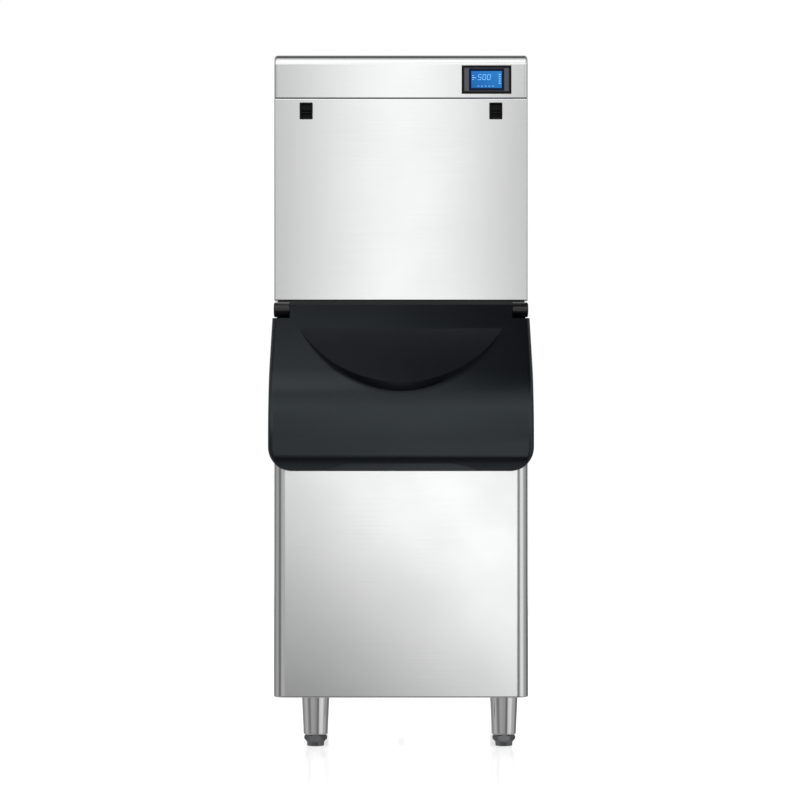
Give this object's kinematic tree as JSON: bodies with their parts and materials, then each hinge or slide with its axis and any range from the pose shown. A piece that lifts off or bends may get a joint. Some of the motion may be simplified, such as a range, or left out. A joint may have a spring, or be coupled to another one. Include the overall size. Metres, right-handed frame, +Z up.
{
  "type": "ice cube machine",
  "caption": "Free-standing commercial ice cube machine: stainless head with a small display over an insulated bin with a curved dark lift-up door, on round legs.",
  "frame": {"origin": "middle of the footprint, on the floor", "axes": "+Z up, front faces -Y, +X to the right seen from the front"},
  "size_m": [0.569, 0.842, 1.512],
  "materials": {
    "stainless": "fine brushing",
    "galvanised": "dull zinc",
    "nickel": "satin nickel",
    "copper": "dull copper",
    "brass": "machined",
    "aluminium": "pressed sheet",
    "fins": "thin fins",
    "enamel_black": "gloss enamel",
    "leg_steel": "bright turned",
    "foot_metal": "dark grey satin",
    "door_plastic": "satin moulded",
    "plastic_black": "satin moulded",
    "screen_blue": "lit display under a clear window",
    "moulding_light": "moulded",
    "curtain_clear": "translucent",
    "hose": "translucent hose",
    "rubber_black": "matte",
    "foam": "foamed"
  },
  "bodies": {
    "cabinet": {"top_cover": "stainless", "front_panel": "stainless", "left_side_panel": "stainless", "right_side_panel": "stainless", "rear_panel": "galvanised", "head_base": "galvanised", "partition_wall": "moulding_light", "head_gasket": "rubber_black", "latch_bezels": "plastic_black", "display_bezel": "plastic_black", "display_screen": "screen_blue", "evaporator_plate": "nickel", "evaporator_coil": "copper", "evaporator_frame": "moulding_light", "water_distributor": "moulding_light", "water_trough": "moulding_light", "water_pump": "plastic_black", "supply_tube": "hose", "float_valve": "moulding_light", "compressor": "enamel_black", "compressor_mounts": "rubber_black", "condenser": "fins", "fan_motor": "enamel_black", "fan_shroud": "galvanised", "filter_drier": "copper", "expansion_valve": "brass", "hot_gas_valve": "brass", "discharge_line": "copper", "suction_line": "copper", "liquid_line": "copper", "electrical_box": "galvanised", "dump_valve": "brass", "water_inlet": "brass", "power_gland": "plastic_black", "bin_wrap": "stainless", "bin_back": "galvanised", "bin_base": "galvanised", "bin_liner": "moulding_light", "bin_foam": "foam", "door_frame": "plastic_black", "left_hinge_bracket": "plastic_black", "right_hinge_bracket": "plastic_black", "bin_drain": "moulding_light", "front_left_leg": "leg_steel", "front_right_leg": "leg_steel", "rear_left_leg": "leg_steel", "rear_right_leg": "leg_steel"},
    "door": {"door_shell": "door_plastic", "door_liner": "door_plastic", "door_gasket": "rubber_black"},
    "left_latch": {"left_latch_slider": "plastic_black"},
    "right_latch": {"right_latch_slider": "plastic_black"},
    "curtain": {"water_curtain": "curtain_clear"},
    "probe": {"thickness_probe": "moulding_light"},
    "float": {"float_arm": "moulding_light"},
    "fan": {"fan_blade": "aluminium"},
    "foot_front_left": {"front_left_foot": "foot_metal"},
    "foot_front_right": {"front_right_foot": "foot_metal"},
    "foot_rear_left": {"rear_left_foot": "foot_metal"},
    "foot_rear_right": {"rear_right_foot": "foot_metal"}
  },
  "joints": [
    {"name": "door_hinge", "type": "hinge", "parent": "cabinet", "child": "door", "pos_m": [0, -0.219, 0.947], "axis": [-1, 0, 0], "range_deg": [0, 110]},
    {"name": "left_latch_slide", "type": "slide", "parent": "cabinet", "child": "left_latch", "axis": [0, 0, 1], "range_m": [-0.008, 0], "stiffness_N_per_m": 300, "springref_m": 0.004},
    {"name": "right_latch_slide", "type": "slide", "parent": "cabinet", "child": "right_latch", "axis": [0, 0, 1], "range_m": [-0.008, 0], "stiffness_N_per_m": 300, "springref_m": 0.004},
    {"name": "curtain_hinge", "type": "hinge", "parent": "cabinet", "child": "curtain", "pos_m": [0, -0.028, 1.422], "axis": [-1, 0, 0], "range_deg": [0, 30]},
    {"name": "probe_hinge", "type": "hinge", "parent": "cabinet", "child": "probe", "pos_m": [0, -0.0035, 1.394], "axis": [-1, 0, 0], "range_deg": [0, 8]},
    {"name": "float_hinge", "type": "hinge", "parent": "cabinet", "child": "float", "pos_m": [0.172, 0.028, 1.0725], "axis": [-1, 0, 0], "range_deg": [-12, 10]},
    {"name": "fan_spin", "type": "hinge", "parent": "cabinet", "child": "fan", "pos_m": [0.132, 0.292, 1.0974], "axis": [0, 1, 0], "continuous": true},
    {"name": "front_left_foot_turn", "type": "hinge", "parent": "cabinet", "child": "foot_front_left", "pos_m": [-0.185, -0.319, 0.012], "axis": [0, 0, 1], "continuous": true},
    {"name": "front_right_foot_turn", "type": "hinge", "parent": "cabinet", "child": "foot_front_right", "pos_m": [0.223, -0.319, 0.012], "axis": [0, 0, 1], "continuous": true},
    {"name": "rear_left_foot_turn", "type": "hinge", "parent": "cabinet", "child": "foot_rear_left", "pos_m": [-0.2, 0.359, 0.012], "axis": [0, 0, 1], "continuous": true},
    {"name": "rear_right_foot_turn", "type": "hinge", "parent": "cabinet", "child": "foot_rear_right", "pos_m": [0.24, 0.359, 0.012], "axis": [0, 0, 1], "continuous": true}
  ]
}
